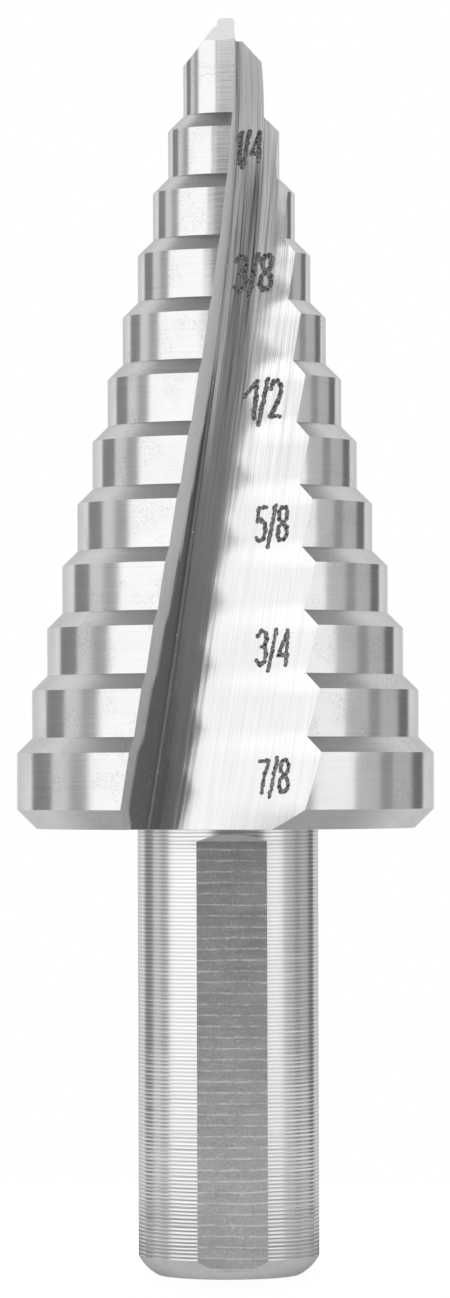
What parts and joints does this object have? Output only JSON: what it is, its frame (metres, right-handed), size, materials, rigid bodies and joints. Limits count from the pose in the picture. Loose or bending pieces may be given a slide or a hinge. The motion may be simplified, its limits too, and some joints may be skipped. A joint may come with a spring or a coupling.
{
  "type": "step drill bit",
  "caption": "Stepped conical drill bit with a spiral flute, a split point and a flatted round shank, for drilling sheet metal.",
  "frame": {"origin": "centre of the shank's end face", "axes": "+Z along the drill's axis to the point, -Y to the side that the flute faces"},
  "size_m": [0.0218, 0.0208, 0.0657],
  "materials": {
    "tool_steel": "ground bright, with fine turning lines"
  },
  "bodies": {
    "root": {"step_drill": "tool_steel"}
  },
  "joints": []
}
